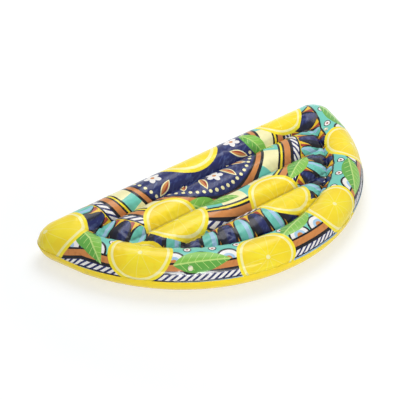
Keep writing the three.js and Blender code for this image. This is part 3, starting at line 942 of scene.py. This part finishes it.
def petals(paint, radius, angle, strokes):
    """A ring of long pointed petals in navy and teal with dark outlines, on red and yellow rays."""
    inner, outer = PETAL_BAND
    inside = radius.between(inner, outer)
    turn = ring_turns(angle, PETALS)
    side = (turn + 0.5).fraction() - 0.5
    across = side.abs()
    width = bulge((radius - (inner + outer) / 2) / ((outer - inner) / 2)).root() * PETAL_HALF_SHARE
    fill = (across < width * PETAL_FILL_SHARE) & inside
    even = fill & ((turn * 0.5 + 0.25).fraction() < 0.5)
    paint.lay(RED, inside)
    paint.lay(DEEP_YELLOW, inside & ((turn * 2).fraction() < 0.5))
    paint.lay(INK, (across < width) & inside)
    paint.lay(NAVY, fill)
    paint.lay(NAVY_BRUSHED, fill & strokes * NAVY_STROKES)
    paint.lay(INK, fill & (side * PETAL_SHADE_SLOPE).at_least(0).at_most(PETAL_SHADE_MOST))
    paint.lay(TEAL, even)
    paint.lay(TEAL_BRUSHED, even & strokes * TEAL_STROKES)
    paint.lay(SKY, even & side.between(*PETAL_STRIPE_SHARES) & (across < width * PETAL_STRIPE_END_SHARE))


def beads(paint, radius, angle, at, count, layers):
    """A ring of round beads at one radius, each made of discs laid on one another."""
    turn = ring_turns(angle, count)
    away = length_of((turn.fraction() - 0.5) * (2 * math.pi * at / count), radius - at)
    for colour, size in layers:
        paint.lay(colour, away < size)


def scallops(paint, radius, angle):
    """White half rounds with an orange dot along the inside of a band, and eyed beads between them."""
    inner, outer = SCALLOP_BAND
    inside = radius.between(inner, outer)
    paint.lay(TEAL, inside)
    beads(paint, radius, angle, inner + (outer - inner) * BEAD_PLACE_SHARE, SCALLOPS, EYED_BEAD)
    cell = 2 * math.pi * outer / SCALLOPS
    across = ((ring_turns(angle, SCALLOPS) + 0.5).fraction() - 0.5) * cell
    away = length_of(across, radius - outer)
    for colour, share in SCALLOP_SHARES:
        paint.lay(colour, (away < cell * share) & inside)


def lined_band(paint, radius, band, colour, line):
    """A band of one colour with a dark line on each side."""
    paint.lay(INK, radius.between(band[0] - line, band[1] + line))
    paint.lay(colour, radius.between(*band))


def medallion(paint, radius, angle, strokes):
    """The brushed navy middle of the rosette, in a lined orange band, with a ring of beads."""
    inner, outer = MEDALLION_BAND
    paint.lay(INK, radius < MEDALLION_RADIUS)
    paint.lay(ORANGE, radius < outer)
    paint.lay(ORANGE_BRUSHED, (radius < outer) & strokes * ORANGE_STROKES)
    paint.lay(INK, radius < inner)
    paint.lay(NAVY, radius < MEDALLION_FIELD_RADIUS)
    paint.lay(NAVY_BRUSHED, (radius < MEDALLION_BRUSHED_RADIUS) & strokes * NAVY_STROKES)
    beads(paint, radius, angle, MEDALLION_BEADS_RADIUS, MEDALLION_BEADS, PLAIN_BEAD)


def sized(spots, size):
    """Motifs of one half-size at these places and turns."""
    return [(centre, turn, size) for centre, turn in spots]


def citrus(paint, tree, place):
    """Round slices: peel, pale pith, and ten segments with pale walls."""
    motifs = sized(WHEELS, WHEEL_SIZE) + sized(LARGE_WHEELS, LARGE_WHEEL_SIZE)
    (x, y), found = any_of(tree, place, motifs, lambda x, y: length_of(x, y) < 1)
    away = length_of(x, y)
    flesh = found & (away < FLESH_SHARE)
    wall = (x.math("ARCTAN2", y) * (SEGMENTS / 2)).math("SINE").abs() * away
    shade = (away - FLESH_SHADE_START).at_least(0) * (y * FLESH_SHADE_TILT + FLESH_SHADE)
    paint.lay(YELLOW, found)
    paint.lay(PITH, found & away.between(FLESH_SHARE, PITH_SHARE))
    paint.lay(FLESH, flesh)
    paint.lay(YELLOW, flesh & (noise(tree, FLESH_NOISE, place) > 0.5))
    paint.lay(DEEP_YELLOW, flesh & shade.at_most(1))
    paint.lay(WALL, found & away.between(*SEGMENT_WALL_SHARES) & (wall < SEGMENT_WALL_HALF))
    paint.lay(PITH, found & (away < CORE_SHARE))


def leaves(paint, tree, place):
    """Plain pointed leaves with pale veins and one darker side."""
    motifs = sized(LARGE_LEAVES, LARGE_LEAF_SIZE) + sized(LEAVES, LEAF_SIZE)
    motifs += sized(SMALL_LEAVES, SMALL_LEAF_SIZE)
    (x, y), found = any_of(tree, place, motifs, lambda x, y: y.abs() < bulge(x) * (x * LEAF_TAPER + 1))
    vein = (x * LEAF_VEINS + y.abs() * LEAF_VEIN_SLANT).fraction() < LEAF_VEIN_SHARE
    paint.lay(LEAF, found)
    paint.lay(LEAF_DARK, found & (y > 0))
    paint.lay(LEAF_VEIN, found & vein & (y.abs() < LEAF_VEIN_REACH))
    paint.lay(LEAF_VEIN, found & (y.abs() < LEAF_MIDRIB_HALF))


def drops(paint, tree, place):
    """Pointed drops in orange with a pale edge, standing round the middle like rays."""
    motifs = []
    for turn in DROP_TURNS:
        angle = math.radians(turn)
        centre = (DROP_AWAY * math.sin(angle), PRINT_CENTRE_Y - DROP_AWAY * math.cos(angle))
        motifs.append((centre, turn - 90, DROP_SIZE))
    (x, y), found = any_of(tree, place, motifs, lambda x, y: y.abs() < bulge(x))
    fill = found & (y.abs() < bulge(x, DROP_FILL_HEIGHT) * DROP_FILL_SHARE)
    paint.lay(CREAM, found)
    paint.lay(ORANGE, fill)
    paint.lay(RED, fill & (y > DROP_RED_FROM))


def blossoms(paint, tree, place):
    """Small white flowers of five petals."""
    motifs = sized(BLOSSOMS, BLOSSOM_SIZE)
    (x, y), found = any_of(tree, place, motifs, lambda x, y: length_of(x, y) < BLOSSOM_REACH)
    away = length_of(x, y)
    swell = (x.math("ARCTAN2", y) * (BLOSSOM_PETALS / 2)).math("COSINE").abs()
    paint.lay(WHITE, found & (away < swell * BLOSSOM_SWELL + BLOSSOM_LOW))
    paint.lay(ORANGE, found & (away < BLOSSOM_HEART))


# The film's surface: gloss, unevenness, welds that are pressed in, and colour darkened along them: painted
# shade in the weld creases, with some of the pressed film's deeper colour
FINE_NOISE, SOFT_NOISE = (55.0, 3.0), (11.0, 2.0)
FILM_ROUGHNESS, FILM_ROUGHNESS_SPAN = 0.16, 0.08
SOFT_HEIGHT, FINE_HEIGHT = 0.0011, 0.00005
PRESSED_BAND, PRESSED_HEIGHT = 0.003, -0.0006
BUMP_STRENGTH = 0.5
FILM_SPECULAR = 0.26
# Painted shade along the weld creases: how far from a weld it reaches, and how much darker it makes the
# colour there
PAINTED_WELD_SHADE_WIDTH, PAINTED_WELD_SHADE_SHARE = 0.009, 0.6
PRINT_TINT_SHARE, PRINT_TINT_NOISE = 0.1, (16.0, 4.0)
PLAIN_TINT_SHARE, PLAIN_TINT_NOISE = 0.08, (20.0, 4.0)
PLAIN_MIX_SHARE, PLAIN_MIX_NOISE = 0.4, (6.0, 2.0)

# Milky film and moulded vinyl: noises of their patches and gloss, and roughness with its span
MILKY_PATCHES, MILKY_GRAIN, MILKY_ROUGHNESS = (12.0, 3.0), (60.0, 2.0), (0.28, 0.1)
VINYL_PATCHES, VINYL_GRAIN, VINYL_ROUGHNESS = (160.0, 3.0), (300.0, 2.0), (0.22, 0.12)
VINYL_GLOW_THROUGH, VINYL_GLOW_RADII = 0.4, (0.003, 0.003, 0.002)
VINYL_COAT = 0.4


def weld_distance(tree):
    return Wire(tree, attribute(tree, "from_weld").outputs["Fac"])


def tinted_and_weld_shaded(tree, socket, amount, kind):
    """The colour made unevenly lighter and darker, as ink on film is, and darker along the welds: painted
    shade in their creases, with some of the pressed film's deeper colour.
    """
    near = (-(weld_distance(tree) / PAINTED_WELD_SHADE_WIDTH) + 1).at_least(0)
    uneven = noise(tree, kind) * amount + (1 - amount / 2)
    # Painted shade: the colour darkens toward each weld, where its crease lies in shade
    shade = uneven * (-(near * near * PAINTED_WELD_SHADE_SHARE) + 1)
    node, under, over, result = mix_of(tree, "RGBA")
    node.blend_type = "MULTIPLY"
    node.inputs["Factor"].default_value = 1.0
    tree.links.new(socket, under)
    tree.links.new(shade.socket, over)
    return result


def film_surface(tree, shader, colour):
    """Colour, gloss, fine unevenness of the film, and the pressed band along its welds."""
    fine = noise(tree, FINE_NOISE)
    rough = fine * FILM_ROUGHNESS_SPAN + FILM_ROUGHNESS
    height = noise(tree, SOFT_NOISE) * SOFT_HEIGHT + fine * FINE_HEIGHT
    pressed = (weld_distance(tree) < PRESSED_BAND) * PRESSED_HEIGHT
    bump = tree.nodes.new("ShaderNodeBump")
    bump.inputs["Strength"].default_value = BUMP_STRENGTH
    bump.inputs["Distance"].default_value = 1.0
    tree.links.new((height + pressed).socket, bump.inputs["Height"])
    tree.links.new(colour, shader.inputs["Base Color"])
    tree.links.new(rough.socket, shader.inputs["Roughness"])
    tree.links.new(bump.outputs[0], shader.inputs["Normal"])
    shader.inputs["Specular IOR Level"].default_value = FILM_SPECULAR


def printed_film():
    material, tree, shader = new_material("printed_film")
    place = attribute(tree, "flat").outputs["Vector"]
    x, y, _ = parts_of(tree, place)
    down = -(y - PRINT_CENTRE_Y)
    radius = length_of(x, down)
    angle = x.math("ARCTAN2", down)
    strokes = brush_strokes(tree, place)
    paint = Paint(tree, YELLOW)
    scallops(paint, radius, angle)
    lined_band(paint, radius, OUTER_BAND, ORANGE, OUTER_BAND_LINE)
    paint.lay(ORANGE_BRUSHED, radius.between(*OUTER_BAND) & strokes * ORANGE_STROKES)
    paint.lay(SKY, radius > SKY_RADIUS)
    rope(paint, radius, angle, OUTER_ROPE_RADIUS, OUTER_ROPE_STRIPES)
    petals(paint, radius, angle, strokes)
    paint.lay(INK, radius.between(*PETAL_RIM))
    rope(paint, radius, angle, INNER_ROPE_RADIUS, INNER_ROPE_STRIPES)
    lined_band(paint, radius, INNER_BAND, ORANGE, INNER_BAND_LINE)
    lined_band(paint, radius, CHECK_BAND, CREAM, INNER_BAND_LINE)
    paint.lay(TEAL, radius.between(*CHECK_BAND) & ((angle * CHECKS).math("SINE") > CHECK_LEVEL))
    medallion(paint, radius, angle, strokes)
    drops(paint, tree, place)
    blossoms(paint, tree, place)
    leaves(paint, tree, place)
    citrus(paint, tree, place)
    film_surface(tree, shader, tinted_and_weld_shaded(tree, paint.socket, PRINT_TINT_SHARE, PRINT_TINT_NOISE))
    return material


def yellow_film():
    material, tree, shader = new_material("yellow_film")
    paint = Paint(tree, BOTTOM_YELLOW)
    paint.lay(YELLOW, noise(tree, PLAIN_MIX_NOISE) * PLAIN_MIX_SHARE)
    film_surface(tree, shader, tinted_and_weld_shaded(tree, paint.socket, PLAIN_TINT_SHARE, PLAIN_TINT_NOISE))
    return material


def mottled(name, colours, patches, grain, roughness):
    """A material with soft patches of two close colours and a slightly uneven gloss."""
    material, tree, shader = new_material(name)
    paint = Paint(tree, colours[0])
    paint.lay(colours[1], noise(tree, patches))
    least, span = roughness
    rough = noise(tree, grain) * span + least
    tree.links.new(paint.socket, shader.inputs["Base Color"])
    tree.links.new(rough.socket, shader.inputs["Roughness"])
    return material, shader


def milky_film():
    material, _ = mottled("plain_film", MILKY_COLOURS, MILKY_PATCHES, MILKY_GRAIN, MILKY_ROUGHNESS)
    return material


def valve_vinyl():
    material, shader = mottled("soft_vinyl", VINYL_COLOURS, VINYL_PATCHES, VINYL_GRAIN, VINYL_ROUGHNESS)
    shader.inputs["Subsurface Weight"].default_value = VINYL_GLOW_THROUGH
    shader.inputs["Subsurface Radius"].default_value = VINYL_GLOW_RADII
    shader.inputs["Coat Weight"].default_value = VINYL_COAT
    return material


def use_material(piece, material):
    piece.data.materials.clear()
    piece.data.materials.append(material)


def add_camera():
    azimuth, elevation = math.radians(CAMERA_AZIMUTH), math.radians(CAMERA_ELEVATION)
    level = math.cos(elevation)
    back = Vector((math.sin(azimuth) * level, -math.cos(azimuth) * level, math.sin(elevation)))
    right = Vector((math.cos(azimuth), math.sin(azimuth), 0))
    up = back.cross(right)
    target = Vector(AIM_POINT) + right * AIM_RIGHT + up * AIM_UP
    data = bpy.data.cameras.new("camera")
    data.sensor_width = SENSOR_WIDTH
    data.lens = SENSOR_WIDTH * FOCAL_PIXELS / FRAME_PIXELS
    camera = placed("camera", data)
    turn = Matrix((right, up, back)).transposed().to_4x4()
    camera.matrix_world = Matrix.Translation(target + back * CAMERA_DISTANCE) @ turn
    bpy.context.scene.camera = camera


def area_light(name, place, size, power, gloss_only=False):
    data = bpy.data.lights.new(name, "AREA")
    data.shape = "RECTANGLE"
    data.size, data.size_y = size
    data.energy = power
    lamp = placed(name, data)
    lamp.location = place
    lamp.rotation_mode = "QUATERNION"
    lamp.rotation_quaternion = (Vector(LAMP_AIM) - Vector(place)).to_track_quat("-Z", "Y")
    lamp.visible_diffuse = not gloss_only


def seen_share(tree):
    """1 for rays from the camera and for those that gloss or glass send on, 0 for light."""
    path = tree.nodes.new("ShaderNodeLightPath")
    names = ("Is Camera Ray", "Is Glossy Ray", "Is Transmission Ray")
    camera, gloss, glass = (Wire(tree, path.outputs[name]) for name in names)
    return camera | gloss | glass


def add_world():
    """Plain white wherever it is seen, and softer as a light."""
    world = bpy.data.worlds.new("studio")
    bpy.context.scene.world = world
    world.use_nodes = True
    tree = world.node_tree
    background = tree.nodes["Background"]
    background.inputs["Color"].default_value = PLAIN_WHITE
    strength = seen_share(tree) * (1 - WORLD_STRENGTH) + WORLD_STRENGTH
    tree.links.new(strength.socket, background.inputs["Strength"])


def add_floor():
    """A pale floor that takes the shadow near the lounger and is plain white further off."""
    half = FLOOR_SIZE / 2
    corners = [(-half, -half), (half, -half), (half, half), (-half, half)]
    floor = mesh_piece("floor", [(x, y, -FLOOR_DROP) for x, y in corners], [(0, 1, 2, 3)])
    material, tree, shader = new_material("floor")
    shader.inputs["Base Color"].default_value = FLOOR_BASE
    shader.inputs["Roughness"].default_value = FLOOR_ROUGHNESS
    shader.inputs["Specular IOR Level"].default_value = FLOOR_SPECULAR
    shader.inputs["Emission Color"].default_value = PLAIN_WHITE
    place = tree.nodes.new("ShaderNodeTexCoord")
    x, y, _ = parts_of(tree, place.outputs["Object"])
    far = ((length_of(x, y) - FLOOR_FAR_START) / FLOOR_FAR_REACH).at_least(0).at_most(1)
    lift = seen_share(tree) * (far * FLOOR_FAR_LIFT + FLOOR_LIFT)
    tree.links.new((lift + FLOOR_GLOW).socket, shader.inputs["Emission Strength"])
    use_material(floor, material)


def add_films():
    """The two sheets of film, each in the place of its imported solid."""
    upper, lower = film_points()
    top = film_object("top_film", upper, valve_seats())
    bottom = film_object("bottom_film", lower, [])
    use_material(top, printed_film())
    use_material(bottom, yellow_film())
    for piece, node, slot in ((top, "top_sheet", "printed_film"), (bottom, "bottom_sheet", "yellow_film")):
        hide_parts(node)
        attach(piece, "lounger_body")


def dress_frame():
    """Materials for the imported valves, webs and chamber walls."""
    milky, vinyl = milky_film(), valve_vinyl()
    for name, node in frame["nodes"].items():
        if "valve" in name:
            use_material(node, vinyl)
        elif name.endswith(("web", "wall")):
            use_material(node, milky)


add_camera()
add_films()
dress_frame()
add_world()
area_light("key", KEY_PLACE, KEY_SIZE, KEY_POWER)
area_light("front", FRONT_PLACE, FRONT_SIZE, FRONT_POWER)
area_light("gloss", GLOSS_PLACE, GLOSS_SIZE, GLOSS_POWER, gloss_only=True)
add_floor()
bpy.context.scene.view_settings.view_transform = "Standard"
